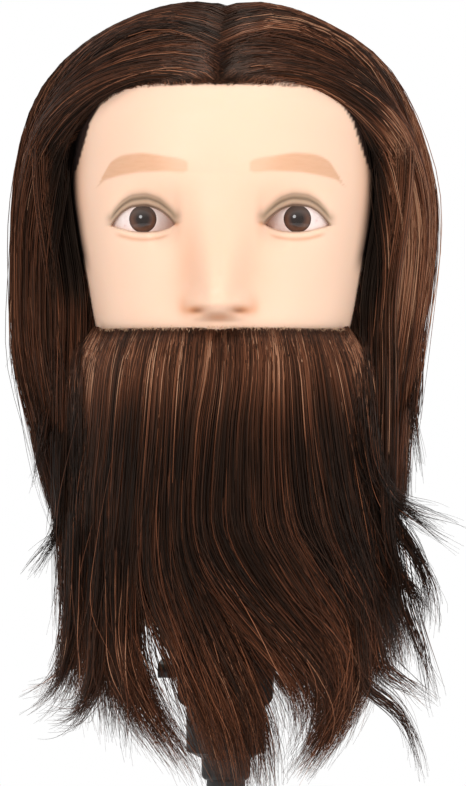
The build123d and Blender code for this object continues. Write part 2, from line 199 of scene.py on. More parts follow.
# ---------------------------------------------------------------- materials
class Nodes:
    """Short way to write a node material. An input takes a value or another node's output."""

    def __init__(self, name):
        self.material = bpy.data.materials.new(name)
        self.material.use_nodes = True
        self.tree = self.material.node_tree
        self.shader = self.tree.nodes["Principled BSDF"]

    def add(self, kind, inputs=None, **settings):
        node = self.tree.nodes.new(kind)
        for key, value in settings.items():
            setattr(node, key, value)
        for key, value in (inputs or {}).items():
            self.connect(value, node.inputs[key])
        return node

    def connect(self, value, socket):
        if isinstance(value, bpy.types.NodeSocket):
            self.tree.links.new(value, socket)
        else:
            socket.default_value = value

    def set(self, **inputs):
        for key, value in inputs.items():
            self.connect(value, self.shader.inputs[key.replace("_", " ")])

    def position(self, scale=(1, 1, 1)):
        coord = self.add("ShaderNodeTexCoord")
        return self.add("ShaderNodeMapping", {0: coord.outputs["Object"], 3: scale}).outputs[0]

    def noise(self, scale, detail=3.0, where=None):
        where = where or self.position()
        return self.add("ShaderNodeTexNoise", {"Vector": where, "Scale": scale, "Detail": detail}).outputs[0]

    def ramp(self, factor, stops):
        node = self.add("ShaderNodeValToRGB", {0: factor})
        elements = node.color_ramp.elements
        while len(elements) < len(stops):
            elements.new(0.5)
        for element, (place, colour) in zip(elements, stops):
            element.position = place
            element.color = colour
        return node.outputs[0]

    def mix(self, factor, a, b, mode="MIX"):
        node = self.add("ShaderNodeMix", data_type="RGBA", blend_type=mode)
        for index, value in ((0, factor), (6, a), (7, b)):
            self.connect(value, node.inputs[index])
        return node.outputs[2]

    def attribute(self, name):
        return self.add("ShaderNodeAttribute", attribute_name=name).outputs["Fac"]

    def bump(self, height, strength, distance):
        node = self.add("ShaderNodeBump", {"Height": height, "Strength": strength, "Distance": distance})
        self.tree.links.new(node.outputs[0], self.shader.inputs["Normal"])


def grey(value):
    return (value, value, value, 1)


def srgb(r, g, b):
    """A colour from 0-255 display values to linear."""
    out = []
    for v in (r, g, b):
        v = v / 255
        out.append(v / 12.92 if v <= 0.04045 else ((v + 0.055) / 1.055) ** 2.4)
    return (*out, 1.0)


def skin_material():
    m = Nodes("skin")
    mottle = m.noise(22.0, 4.0)
    base = m.mix(mottle, srgb(246, 208, 182), srgb(243, 202, 175))
    # orange-tan painted shade under and beside the nose and along the face's edges, and a faint tint
    # elsewhere
    colour = m.mix(m.attribute("warm_shade_and_tint"), base, srgb(222, 150, 106))
    colour = m.mix(m.attribute("lid"), colour, srgb(140, 118, 94))
    # painted lash lines, with painted shade in the lid's folds and the nostrils
    colour = m.mix(m.attribute("line"), colour, srgb(84, 62, 48))
    strokes = m.noise(1.0, 3.0, m.position((160, 160, 900)))
    brow = m.mix(strokes, srgb(224, 178, 146), srgb(216, 165, 130))
    colour = m.mix(m.attribute("brow"), colour, brow)
    # painted shade on the skin under the hair and beard, made dull there too
    colour = m.mix(m.attribute("shade_under_hair"), colour, srgb(38, 22, 16))
    rough = m.ramp(m.attribute("shade_under_hair"), [(0.0, grey(0.42)), (1.0, grey(1))])
    m.set(Base_Color=colour, Roughness=rough, Specular_IOR_Level=0.3)
    m.set(Subsurface_Weight=0.12, Subsurface_Radius=(0.012, 0.006, 0.003), Subsurface_Scale=0.5)
    pores = m.noise(900.0, 2.0)
    m.bump(pores, 0.06, 0.0004)
    return m.material


def eye_white_material():
    m = Nodes("eye_white")
    veins = m.noise(420.0, 5.0)
    colour = m.ramp(veins, [
        (0.35, srgb(238, 222, 216)), (0.62, srgb(232, 212, 206)), (0.75, srgb(226, 192, 186))])
    m.set(Base_Color=colour, Roughness=0.18, Coat_Weight=0.6, Coat_Roughness=0.05)
    return m.material


def iris_material():
    """Dark pupil, brown iris with a darker rim, and a painted reflection that greys its upper half."""
    m = Nodes("iris")
    radius = m.attribute("radius")
    fibres = m.noise(1.0, 4.0, m.position((900, 40, 900)))
    colour = m.ramp(radius, [
        (0.0, srgb(12, 9, 8)), (0.38, srgb(16, 11, 9)), (0.5, srgb(58, 37, 29)),
        (0.74, srgb(100, 66, 50)), (0.9, srgb(90, 62, 51)), (0.985, srgb(58, 42, 37))])
    colour = m.mix(fibres, colour, m.mix(0.5, colour, srgb(60, 40, 30)))
    # painted reflection over the iris's upper half
    colour = m.mix(m.attribute("upper"), colour, srgb(84, 76, 72))
    m.set(Base_Color=colour, Roughness=0.12, Specular_IOR_Level=0.2, Coat_Weight=1.0, Coat_Roughness=0.02)
    return m.material


# Palette of the hair from darkest to palest, as display values
HAIR_COLOURS = [
    (9, 5, 4), (22, 12, 9), (33, 19, 13), (45, 26, 17), (60, 34, 22), (78, 44, 29),
    (99, 58, 39), (126, 77, 52), (156, 106, 79), (184, 138, 108), (214, 184, 152),
]


def hair_material():
    """Colour from the palette by the strand's UV, darker at the root."""
    m = Nodes("hair")
    uv = m.add("ShaderNodeUVMap", uv_map=UV).outputs[0]
    split = m.add("ShaderNodeSeparateXYZ", {0: uv})
    count = len(HAIR_COLOURS)
    stops = [((i + 0.5) / count, srgb(*colour)) for i, colour in enumerate(HAIR_COLOURS)]
    palette = m.ramp(split.outputs[0], stops)
    root = m.ramp(split.outputs[1], [(0.0, grey(0.6)), (0.10, grey(1)), (1.0, (1.06, 1.0, 0.96, 1))])
    colour = m.mix(1.0, palette, root, "MULTIPLY")
    m.set(Base_Color=colour, Roughness=0.42, Specular_IOR_Level=0.34, Specular_Tint=(1.0, 0.72, 0.54, 1))
    return m.material


def hair_shade_material():
    """Nearly black and dull: painted shade for the layer under the strands."""
    m = Nodes("hair_shade_underlay")
    streaks = m.noise(1.0, 3.0, m.position((700, 700, 30)))
    m.set(Base_Color=m.mix(streaks, srgb(8, 5, 4), srgb(20, 12, 9)), Roughness=0.95, Specular_IOR_Level=0.05)
    m.bump(streaks, 0.6, 0.002)
    return m.material


def moulded_material(name, light, dark, roughness, grain):
    """Moulded plastic or rubber with a fine grain and paler worn spots."""
    m = Nodes(name)
    wear = m.ramp(m.noise(60.0, 6.0), [(0.45, grey(0)), (0.8, grey(1))])
    m.set(Base_Color=m.mix(wear, dark, light), Specular_IOR_Level=0.5)
    rough = m.ramp(m.noise(35.0, 4.0), [(0.3, grey(roughness)), (0.7, grey(roughness + 0.14))])
    m.set(Roughness=rough)
    m.bump(m.noise(grain, 2.0), 0.18, 0.0004)
    return m.material


def metal_material(name, colour, roughness):
    """Bare metal with turning marks."""
    m = Nodes(name)
    brush = m.noise(1.0, 3.0, m.position((900, 900, 60)))
    darker = (*(0.8 * part for part in colour[:3]), 1)
    m.set(Base_Color=m.mix(brush, colour, darker), Metallic=1.0)
    m.set(Roughness=m.ramp(brush, [(0.3, grey(roughness)), (0.7, grey(roughness + 0.12))]))
    m.bump(brush, 0.08, 0.0003)
    return m.material


# ---------------------------------------------------------------- face
def head_point(angle, z):
    """Point of the plain head outline. Angle 0 is the front, and the face is a little flat."""
    cheeks = 1.8 * ease(z, 262, 280) * (1 - ease(z, 330, 362))
    half = column(HEAD, z, 1) + cheeks
    front, back = column(HEAD, z, 2), column(HEAD, z, 3)
    flat = 2 + 0.35 * ease(z, 258, 285) * (1 - ease(z, 365, 395))
    across = np.abs(np.sin(angle))
    forward = np.where(np.cos(angle) > 0, (1 - np.minimum(across, 1) ** flat) ** (1 / flat), np.cos(angle))
    return half * np.sin(angle), (front + back) / 2 - (back - front) / 2 * forward


def lid_curves(outward):
    """Upper and lower lid edge above the eye's centre, for a distance outward from it."""
    xs = np.array([INNER, -11.5, -6.5, -1.0, 4.0, 8.5, 12.0, OUTER])
    upper = np.array([-2.4, 1.0, 4.5, 6.0, 5.6, 3.6, 0.4, -2.6])
    lower = np.array([-2.6, -4.3, -5.6, -6.1, -5.7, -4.6, -3.6, -2.9])
    return smooth_table(outward, xs, upper), smooth_table(outward, xs, lower)


def face_relief(x, z):
    """How far the face stands out of the plain outline."""
    side = np.abs(x)
    out = 1.6 * bump(side, z, 30, 352, 20, 9)  # brow ridge
    out -= 4.6 * bump(side, z, 31, 330, 15, 12)  # eye socket
    out -= 4.0 * np.exp(-((side - 24) / 6.0) ** 4 - ((z - 325) / 9) ** 2)  # inner corner of the eye
    out += 0.6 * bump(side, z, 40, 300, 15, 15)  # cheek
    out += 2.0 * bump(side, z, 50, 325, 8, 14)  # outer rim of the socket
    nose_z = np.array([276, 279.5, 281.5, 284, 288, 293, 300, 310, 322, 334, 345.0])
    nose_out = np.array([0.0, 0.8, 4.5, 11, 16.0, 17.5, 14.5, 9.8, 5.6, 2.2, 0.0])
    nose_width = np.array([9.0, 9, 9.0, 9.2, 9.6, 10.0, 10.8, 12.0, 13.6, 15.5, 17.0])
    height = smooth_table(z, nose_z, nose_out)
    width = smooth_table(z, nose_z, nose_width)
    out += height * np.exp(-(side / width) ** 2.8)
    out += 4.8 * bump(side, z, 10.8, 288.2, 4.4, 4.8)  # wing of the nose
    out -= 2.4 * bump(side, z, 8.4, 284.0, 3.0, 1.6)  # nostril
    out -= 0.5 * bump(x, z, 0, 280, 2.2, 2.5)  # groove above the lip
    return out


def warm_shade_and_tint_mask(x, z):
    """Where the skin turns orange-tan: painted shade under and beside the nose, stronger on the nose's left,
    and along the face's side edges, with a faint tint under the brows, down the nose and over the middle of
    the face and forehead.
    """
    side = np.abs(x)
    # painted shade under the nose's wings and in the folds beside them
    warm_shade_and_tint = 0.85 * bump(side, z, 10.4, 284.6, 4.4, 1.9) + 0.3 * bump(side, z, 15.8, 286.5, 2.4, 4)
    # painted shade on the nose's sides, more on its left
    warm_shade_and_tint += 0.12 * bump(side, z, 16, 305, 7, 20) + 0.16 * bump(x, z, -13, 306, 6, 20)
    # painted shade under the nose's tip, and a faint tint down the nose
    warm_shade_and_tint += 0.6 * bump(x, z, 0, 281.6, 5.5, 1.4) + 0.10 * bump(x, z, 0, 305, 9, 24)
    # painted shade along the face's side edges, and a faint tint under the brows
    warm_shade_and_tint += 0.5 * ease(side, 58, 70) + 0.08 * bump(side, z, 30, 336, 18, 5)
    warm_shade_and_tint += 0.11 * bump(x, z, 0, 335, 34, 46)
    return np.clip(warm_shade_and_tint, 0, 1)


def brow_mask(x, z):
    """The painted eyebrows, fainter towards the nose."""
    side = np.abs(x)
    xs = np.array([13.0, 16, 24, 35, 42, 48, 51.5, 55.0])
    upper = np.array([349.5, 351.3, 352.8, 354.4, 354.0, 351.6, 347.0, 340.8])
    lower = np.array([346.0, 345.0, 345.6, 345.5, 344.7, 343.7, 342.8, 340.4])
    top, bottom = smooth_table(side, xs, upper), smooth_table(side, xs, lower)
    inside = np.minimum(np.minimum(top - z, z - bottom), np.minimum(side - 13.4, 55.5 - side))
    return ease(inside, -0.5, 1.1) * (0.62 + 0.38 * ease(side, 16, 30))


def hairline_z(side):
    """Height of the hairline at a distance from the middle."""
    xs = np.array([0.0, 40, 48, 54, 59, 62, 66, 72])
    heights = np.array([385.0, 384.6, 382, 377, 369, 360, 349, 340])
    return np.interp(side, xs, heights)


def runs(stops):
    """Numbers from several runs, each with its own step."""
    parts = [np.arange(start, end, step) for start, end, step in stops]
    return np.concatenate(parts + [[stops[-1][1]]])


def head_grid():
    """Angles and heights of the skin's grid, closest together round the eyes and nose."""
    z = runs([
        (142, 262, 4.0), (262, 276, 1.6), (276, 296, 0.6), (296, 312, 1.0), (312, 338, 0.45),
        (338, 358, 0.8), (358, 392, 1.6), (392, 420.6, 2.2)])
    half = runs([(0, 14, 0.8), (14, 19, 0.6), (19, 52, 0.5), (52, 66, 1.0)])
    front = np.arcsin(half / HEAD[:, 1].max())
    rear = np.linspace(front[-1], np.pi, 34)[1:]
    right = np.concatenate([front, rear])
    return np.meshgrid(np.concatenate([-right[::-1][:-1], right])[:-1], z)


def eye_forms(dx, dz, y, front, mask):
    """Forms lids over an eyeball, opens them, and adds to the masks. Offsets are from the eye."""
    r2 = dx**2 + dz**2
    cover = EYE_R + LID
    lid_y = EYE_Y - np.sqrt(np.maximum(cover**2 - r2, 0.0))
    near = (r2 < cover**2) & front
    blend = 3.4  # radius between socket and lid
    share = np.clip(0.5 + 0.5 * (y - lid_y) / blend, 0, 1)
    joined = y * (1 - share) + lid_y * share - blend * share * (1 - share)
    y = np.where(near, joined, y)

    upper, lower = lid_curves(np.clip(dx, INNER, OUTER))
    past = np.maximum(np.maximum(INNER - dx, dx - OUTER), 0)
    hole = ease(np.minimum(upper - dz, dz - lower) - past, -0.15, 0.75) * near
    ball_y = EYE_Y - np.sqrt(np.maximum(EYE_R**2 - r2, 0.0))
    y = y + (np.maximum(ball_y + 2.5, y) - y) * hole  # in the opening the skin dips behind the ball

    above, below = dz - upper, lower - dz
    # the crease is a groove in the lid, and its dark mark is painted shade in that fold
    crease = ridge(above - 3.0, 0.55) * ease(dx, -15, -9) * (1 - ease(dx, 11, 16))
    pouch = ridge(below - 3.2, 0.9) * (1 - ease(np.abs(dx), 9, 14))
    y = y + 0.7 * crease * near + 0.35 * pouch * near

    fade = 1 - ease(np.abs(dx + 0.5), 13, 19)
    shadow = ease(above, -0.6, 0.4) * (1 - ease(above, 2.5, 8.5)) * fade
    mask["lid"] = np.maximum(mask["lid"], (0.62 + 0.3 * ridge(above - 3.6, 1.6)) * shadow)
    lash = ridge(above - 0.1, 0.75) * (1 - ease(np.abs(dx), 13, 16))
    second = 0.35 * ridge(above - 4.8, 0.5) * ease(dx, -14, -6) * (1 - ease(dx, 8, 14))
    # the pouch marks are painted shade in the fold under the lower lid
    under = 0.12 * pouch + 0.25 * ridge(below - 0.2, 0.5) * (1 - ease(np.abs(dx), 12, 15))
    # the lash line is painted on; the crease and second fold lines are painted shade
    for dark in (0.85 * lash, 0.5 * crease + second, under):
        mask["line"] = np.maximum(mask["line"], dark)
    # painted shade in the fold under the lower lid, and the pink inner corner of the eye
    for tint_and_shade in (0.42 * pouch, 0.7 * bump(dx, dz, -15.5, -2.6, 1.6, 1.3)):
        mask["warm_shade_and_tint"] = np.maximum(mask["warm_shade_and_tint"], tint_and_shade)
    return y


def shade_under_hair_mask(angle, x, z):
    """Painted shade on the skin where hair and beard cover it."""
    above_hairline = ease(z - hairline_z(np.abs(x)), -0.4, 1.8)
    behind_face = ease(np.abs(angle), 1.05, 1.25) * ease(z, 300, 312)
    under_beard = (1 - ease(z, MOUSTACHE_Z - 2.2, MOUSTACHE_Z - 0.8)) * ease(z, 205, 215)
    return np.maximum(np.maximum(above_hairline, behind_face), under_beard)


def head_triangles(rows, cols):
    """Faces of the head's grid, closed by a fan at the crown and one under the neck."""
    faces = grid_faces(rows, cols)
    count = rows * cols
    ring = np.arange(cols)
    following = (ring + 1) % cols
    last = count - cols
    crown = np.stack([last + ring, last + following, np.full(cols, count)], -1)
    neck = np.stack([following, ring, np.full(cols, count + 1)], -1)
    return np.concatenate([faces[:, [0, 1, 2]], faces[:, [0, 2, 3]], crown, neck])


def build_head():
    """The skin of the whole head, with the masks that colour it. Features are at the front only."""
    angle, z = head_grid()
    front = np.abs(angle) < FACE_ANGLE
    x, y = head_point(angle, z)
    y = y - face_relief(x, z) * np.where(front, 1.0, 0.0) * ease(z, 255, 276)
    mask = {"warm_shade_and_tint": warm_shade_and_tint_mask(x, z), "lid": np.zeros_like(x), "line": np.zeros_like(x)}
    for side in (1, -1):
        y = eye_forms((x - side * EYE[0]) * side, z - EYE[2], y, front, mask)
    # painted shade in the nostrils
    nostril = 0.42 * bump(np.abs(x), z, 9.0, 284.4, 2.8, 0.9)
    mask["line"] = np.maximum(mask["line"], nostril * front)
    mask["brow"] = brow_mask(x, z)
    mask["shade_under_hair"] = shade_under_hair_mask(angle, x, z)

    crown, neck = (0, 5, 421.0), (0, 0, 142.0)
    verts = np.concatenate([np.stack([x, y, z], -1).reshape(-1, 3), [crown, neck]])
    head = make_mesh("skin", verts, head_triangles(*x.shape))
    for name, values in mask.items():
        at_crown = 1.0 if name == "shade_under_hair" else 0.0
        point_attribute(head, name, np.append(values.ravel(), [at_crown, 0.0]))
    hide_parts("head_shell")
    dress(head, skin_material())
    return head


def build_ears(material):
    """Ears hidden under the hair, as curled shells."""
    middle = (69, 15, 316)
    half_depth, half_height = 16, 28
    rows, cols = 40, 56
    t = np.linspace(0, 1, rows)[:, None]  # from the middle of the ear to its edge
    a = np.linspace(0, 2 * np.pi, cols, endpoint=False)[None, :]
    lobe = 1 - 0.22 * np.clip(-np.sin(a), 0, 1)
    opening = np.sin(np.pi * t / 2)
    y = middle[1] + half_depth * lobe * np.cos(a) * opening * (1 - 0.15 * np.sin(a))
    z = middle[2] + half_height * np.sin(a) * opening
    rim = ridge(t - 0.82, 0.12) - 0.7 * ridge(t - 0.5, 0.2)
    x = middle[0] + 4.5 * rim + 3 * (1 - t) + 3 * np.cos(a) * t
    for side, name in ((-1, "ear_left"), (1, "ear_right")):
        verts = np.stack([side * x, y, z], -1).reshape(-1, 3)
        ear = make_mesh(name, verts, grid_faces(rows, cols))
        ear.modifiers.new("thickness", "SOLIDIFY").thickness = 3 * MM
        dress(ear, material)


# ---------------------------------------------------------------- eyes
def eye_surface(angles, limit, columns):
    """Points of an eyeball from its front. Inside the limit angle the cornea stands 0.9 mm proud."""
    a = np.linspace(0, 2 * np.pi, columns, endpoint=False)[None, :]
    p = angles[:, None]
    radius = EYE_R + 0.9 * np.clip(1 - (p / limit) ** 2, 0, 1) ** 1.2
    x = radius * np.sin(p) * np.cos(a)
    y = -radius * np.cos(p) + 0 * a
    z = radius * np.sin(p) * np.sin(a)
    return np.stack([x, y, z], -1)


def build_eyes():
    """A white and an iris for each eye."""
    columns = 72
    iris_r = (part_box("iris_right")[1].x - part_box("iris_right")[0].x) / 2 / MM
    limit = math.asin(iris_r / EYE_R)
    white_angles, iris_angles = np.linspace(limit, 1.62, 40), np.linspace(0.002, limit, 26)
    white, iris = eye_white_material(), iris_material()
    for side, name in ((-1, "left"), (1, "right")):
        centre = np.array([side * EYE[0], EYE_Y, EYE[2]])
        points = eye_surface(white_angles, limit, columns) + centre
        faces = grid_faces(len(white_angles), columns)
        obj = make_mesh(f"eye_white_{name}", points.reshape(-1, 3), faces)
        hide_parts(f"eyeball_{name}")
        dress(obj, white)

        points = eye_surface(iris_angles, limit, columns)
        verts = (points + centre).reshape(-1, 3)
        obj = make_mesh(f"eye_iris_{name}", verts, grid_faces(len(iris_angles), columns))
        point_attribute(obj, "radius", np.repeat(np.sin(iris_angles) / math.sin(limit), columns))
        # this mask places the painted reflection on the iris's upper half
        height = (points[..., 2] / iris_r).ravel()
        point_attribute(obj, "upper", 0.75 * ease(height, 0.0, 0.75))
        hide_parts(f"iris_{name}", f"cornea_{name}")
        dress(obj, iris)


# ---------------------------------------------------------------- hair
def hair_point(angle, z, scale):
    """Point inside the hair's outline at a share of its size. Angle 0 is the front."""
    half = np.where(angle < 0, column(HAIR, z, 1), column(HAIR, z, 2))
    front, back = column(HAIR, z, 3), column(HAIR, z, 4)
    x = scale * half * np.sin(angle)
    y = (front + back) / 2 - scale * (back - front) / 2 * np.cos(angle)
    return np.stack([x, y, z + 0 * x], -1)


DOME = AXIS + (0, 0, 330.0)  # centre that the crown's strands turn about
SKIN = HEAD[:, [0, 1, 1, 2, 3]]  # the head's outline with the same columns as HAIR


def ray_length(direction, table):
    """Distance from the dome's centre to an outline, along rays."""
    low = np.full(direction.shape[:-1], 50.0)
    high = np.full(direction.shape[:-1], 130.0)
    for _ in range(20):
        mid = (low + high) / 2
        p = DOME + direction * mid[..., None]
        half = np.where(p[..., 0] < 0, column(table, p[..., 2], 1), column(table, p[..., 2], 2))
        front, back = column(table, p[..., 2], 3), column(table, p[..., 2], 4)
        across = p[..., 0] / half
        along = (p[..., 1] - (front + back) / 2) / ((back - front) / 2)
        inside = across**2 + along**2 < 1
        inside &= p[..., 2] < table[-1, 0]
        low, high = np.where(inside, mid, low), np.where(inside, high, mid)
    return low


def on_dome(direction, scale):
    """Points along rays at a share of the hair's outline, but never under the skin."""
    far = np.maximum(ray_length(direction, HAIR) * scale, ray_length(direction, SKIN) + 0.6)
    return DOME + direction * far[..., None]


def unit(v):
    return v / np.linalg.norm(v, axis=-1, keepdims=True)


def gather(paths, key, locks, strength, start, rng):
    """Draws strands towards one strand of their lock, more so towards the tips."""
    order = rng.permutation(len(paths))[:locks]
    centres = key[order]
    nearest = np.empty(len(paths), int)
    for i in range(0, len(paths), 4000):
        d = ((key[i:i + 4000, None, :] - centres[None]) ** 2).sum(-1)
        nearest[i:i + 4000] = d.argmin(1)
    guide = paths[order][nearest]
    t = np.linspace(0, 1, paths.shape[1])[None, :, None]
    pull = strength * ease(t, start, 1.0) * rng.uniform(0.6, 1.0, (len(paths), 1, 1))
    return paths + (guide - paths) * pull, nearest


def waver(paths, rng, size, turns, start=0.1):
    """Gives each strand its own slow sway."""
    t = np.linspace(0, 1, paths.shape[1])[None, :, None]
    phase = rng.uniform(0, 2 * np.pi, (len(paths), 1, 3))
    speed = rng.uniform(0.5, 1.0, (len(paths), 1, 3)) * turns
    amount = rng.uniform(0.3, 1.0, (len(paths), 1, 3)) * size
    sway = (np.sin(phase + 2 * np.pi * speed * t) - np.sin(phase)) * ease(t, start, 1.0)
    return paths + amount * sway


def resample(points):
    """Even spacing along each strand, after a light smoothing."""
    for _ in range(2):
        points[:, 1:-1] = 0.25 * points[:, :-2] + 0.5 * points[:, 1:-1] + 0.25 * points[:, 2:]
    step = np.linalg.norm(np.diff(points, axis=1), axis=-1)
    along = np.concatenate([np.zeros((len(points), 1)), np.cumsum(step, 1)], 1)
    along /= along[:, -1:]
    want = np.linspace(0, 1, K)
    out = np.empty((len(points), K, 3))
    for i in range(len(points)):
        for axis in range(3):
            out[i, :, axis] = np.interp(want, along[i], points[i, :, axis])
    return out


def curve_directions(start, via, end, t):
    """Directions from the dome's centre that swing from start to end, drawn towards via."""
    start, via, end = start[:, None], via[:, None], end[:, None]
    return unit((1 - t) ** 2 * start + 2 * t * (1 - t) * via + t**2 * end)


def crown_then_fall(direction, lift, bend, settle, fall):
    """Strands over the crown that arrive at their bend and then hang down."""
    crown = on_dome(direction, lift)
    crown += (bend[:, None] - crown[:, -1:]) * settle
    return resample(np.concatenate([crown, fall[:, 1:]], 1))


def side_hair(side, count, rng):
    """Strands from the parting, over the crown and down one side or half the back."""
    share = rng.uniform(0, 1, count) ** 1.15  # 0 is the strand nearest the face, 1 the middle of the back
    depth = rng.uniform(0, 1, count) ** 1.3  # 0 is the outermost layer
    turn = np.interp(share, [0, 0.45, 1], [1.02, 1.85, 3.12])
    root_y = np.interp(share, [0, 0.12, 0.5, 1], [-68, -56, 12, 50]) + rng.normal(0, 2.5, count)
    root_z = 425 - 38 * np.abs((root_y - 5) / 90) ** 2.3
    root = np.stack([side * rng.normal(-1.0, 2.2, count), root_y, root_z], -1)
    bend_z = np.interp(share, [0, 0.3, 1], [358, 366, 372]) + rng.normal(0, 2, count)
    scale = np.interp(share, [0, 0.10, 0.22, 1], [0.86, 0.94, 1.0, 1.0]) - 0.15 * depth
    scale = np.maximum(scale, 0.80)
    bend = hair_point(side * turn, bend_z, scale)

    t = np.linspace(0, 1, 18)[None, :]
    lift = 1 - 0.045 * (1 - ease(t, 0, 0.14)) - 0.075 * depth[:, None] * (1 - 0.3 * t)
    swing = np.stack([0 * share, 0.45 * (1 - share), 0.10 * (1 - share)], -1)  # back from the parting
    start_dir, end_dir = unit(root - DOME), unit(bend - DOME)
    via_dir = unit(0.55 * start_dir + 0.45 * end_dir + swing)
    direction = curve_directions(start_dir, via_dir, end_dir, t[..., None])

    tip = np.interp(share, [0, 0.10, 0.2, 0.35, 0.6, 1], [100, 104, 150, 165, 158, 150])
    tip = tip + np.abs(rng.normal(0, 28, count)) + 60 * depth * rng.uniform(0, 1, count)
    s = np.linspace(0, 1, 24)[None, :]
    z = bend_z[:, None] + (tip - bend_z)[:, None] * s
    over_jaw, beside_cheek = 0.10 * ease(-z, -290, -255), 0.07 * ease(-z, -345, -325)
    inward = -(over_jaw - beside_cheek) * ease(-share, -0.14, 0)[:, None]
    drift = rng.normal(0, 0.05, count)[:, None] * s + 0.05 * np.sin(3 * s + share[:, None] * 9)
    fall = hair_point(side * (turn[:, None] + drift + inward), z, scale[:, None])
    paths = crown_then_fall(direction, lift, bend, ease(t, 0.2, 1)[..., None], fall)

    key = np.stack([share * 6, depth * 0.35], -1)
    paths, lock = gather(paths, key, 46, 0.80, 0.4, rng)
    paths, _ = gather(paths, key, 420, 0.55, 0.15, rng)
    return waver(waver(paths, rng, 2.0, 1.4), rng, 0.7, 4.0), lock


def hairline_hair(side, count, rng):
    """Strands rooted along the front hairline that rise, bend outward and join the side."""
    root_x = 66 * rng.uniform(-0.04, 1, count) ** np.where(rng.uniform(0, 1, count) < 0.25, 3, 1)
    inner = rng.uniform(0, 1, count) < 0.5  # rooted behind the hairline
    root_z = hairline_z(root_x) + rng.normal(0.3, 0.6, count) + 26 * inner * rng.uniform(0, 1, count)
    half, front, back = (column(HEAD, root_z, i) for i in (1, 2, 3))
    root_x = np.clip(root_x, -3, half * 0.97)
    root_y = (front + back) / 2 - (back - front) / 2 * np.sqrt(1 - (root_x / half) ** 2) - 0.5
    root = np.stack([side * root_x, root_y, root_z], -1)
    rise = np.interp(root_x, [0, 20, 48, 66], [17, 13, 5, 0]) * rng.uniform(0.7, 1.2, count)
    via = root + np.stack([side * (1.5 + 0.28 * root_x), np.full(count, 2.0), rise * 1.3], -1)
    turn = np.interp(root_x, [0, 66], [1.25, 1.04]) + rng.normal(0, 0.05, count)
    bend_z = np.interp(root_x, [0, 66], [364, 345]) + rng.normal(0, 3, count)
    scale = np.interp(root_x, [0, 66], [0.99, 0.88]) - 0.03 * rng.uniform(0, 1, count)
    bend = hair_point(side * turn, bend_z, scale)

    t = np.linspace(0, 1, 20)[None, :, None]
    direction = curve_directions(unit(root - DOME), unit(via - DOME), unit(bend - DOME), t)
    top_scale = np.interp(root_x, [0, 66], [0.99, 0.94]) - 0.02 * rng.uniform(0, 1, count)
    lift = 0.9 + (top_scale[:, None] - 0.9) * ease(t[..., 0], 0, 0.4)

    tip = np.interp(root_x, [0, 66], [170, 110]) + np.abs(rng.normal(0, 45, count))
    s = np.linspace(0, 1, 24)[None, :]
    z = bend_z[:, None] + (tip - bend_z)[:, None] * s
    fall = hair_point(side * (turn[:, None] + 0.14 * ease(s, 0, 0.25)), z, scale[:, None])
    paths = crown_then_fall(direction, lift, bend, ease(t, 0.3, 1), fall)

    key = np.stack([root_x / 12, np.zeros(count)], -1)
    paths, lock = gather(paths, key, 18, 0.7, 0.45, rng)
    paths, _ = gather(paths, key, 140, 0.45, 0.12, rng)
    return waver(paths, rng, 1.2, 1.5), lock


# Outline of the beard: height, half width, front y
BEARD_Z = np.array([60.0, 95, 140, 190, 230, 255, 270, 278])
BEARD_HALF = np.array([74.0, 78, 79, 78, 76, 75, 72, 66])
BEARD_FRONT = np.array([-93.0, -97, -102, -107, -109, -107.5, -103, -97.5])


def beard_point(x, z, scale):
    """Point on or behind the beard's front at a place across and a height."""
    half, front = smooth_table(z, BEARD_Z, BEARD_HALF), smooth_table(z, BEARD_Z, BEARD_FRONT)
    inside = np.clip(1 - (x / (half + 1)) ** 2, 0.02, 1)
    return np.stack([x + 0 * z, -4 + scale * (front + 4) * np.sqrt(inside), z + 0 * x], -1)


# How each lock of the beard wanders: its place across at these heights, from lip to tips
LOCK_Z = np.array([278, 262, 232, 192, 175, 157, 144, 128, 111, 94, 77.0])
LOCK_X = np.array([
    (-64, -68, -72, -71, -70, -69, -72, -80, -90, -96), (-59, -62, -66, -66, -66, -65, -66, -74, -83, -90),
    (-53, -56, -59, -59, -59, -58, -58, -62, -68, -72), (-46, -49, -52, -52, -52, -51, -50, -48, -46, -44),
    (-39, -42, -45, -46, -47, -47, -45, -38, -26, -13), (-32, -35, -38, -40, -42, -43, -40, -33, -20, -8),
    (-25, -27, -30, -30, -26, -20, -14, -8, -3, 4), (-18, -20, -22, -21, -16, -11, -5, 2, 8, 12),
    (-11, -14, -16, -13, -5, 1, 8, 16, 20, 21), (-5, -10, -12, -9, 3, 13, 26, 37, 36, 28),
    (2, -1, -4, 2, 14, 26, 38, 47, 42, 30), (10, 7, 6, 13, 26, 36, 48, 53, 47, 33),
    (18, 16, 17, 25, 36, 46, 55, 55, 48, 34), (26, 26, 28, 36, 47, 54, 60, 57, 47, 33),
    (33, 35, 39, 47, 55, 60, 64, 61, 50, 38), (41, 44, 50, 56, 62, 65, 69, 72, 76, 80),
    (49, 54, 60, 64, 69, 73, 76, 78, 80, 82), (56, 62, 68, 70, 74, 79, 82, 84, 86, 88),
    (64, 68, 72, 74, 77, 80, 83, 86, 90, 92),
])
LOCK_X = np.column_stack([0.89 * LOCK_X[:, 0], LOCK_X])  # the roots sit closer together than the locks
LOCK_TIP = np.array([112, 104, 100, 94, 82, 76, 72, 70, 68, 98, 84, 78, 80, 82, 90, 112, 116, 124, 130.0])


def between_locks(place, z, tight):
    """Place across of strands that lie between two locks, drawn to the nearer one where tight is 1."""
    low = np.clip(np.floor(place).astype(int), 0, len(LOCK_X) - 2)
    part = (place - low)[:, None]
    x_low, x_high = np.empty(z.shape), np.empty(z.shape)
    for i in range(len(LOCK_X)):
        curve = smooth_table(z, LOCK_Z[::-1], LOCK_X[i, ::-1])
        x_low = np.where((low == i)[:, None], curve, x_low)
        x_high = np.where((low + 1 == i)[:, None], curve, x_high)
    return x_low + (x_high - x_low) * (part + (np.round(part) - part) * tight)


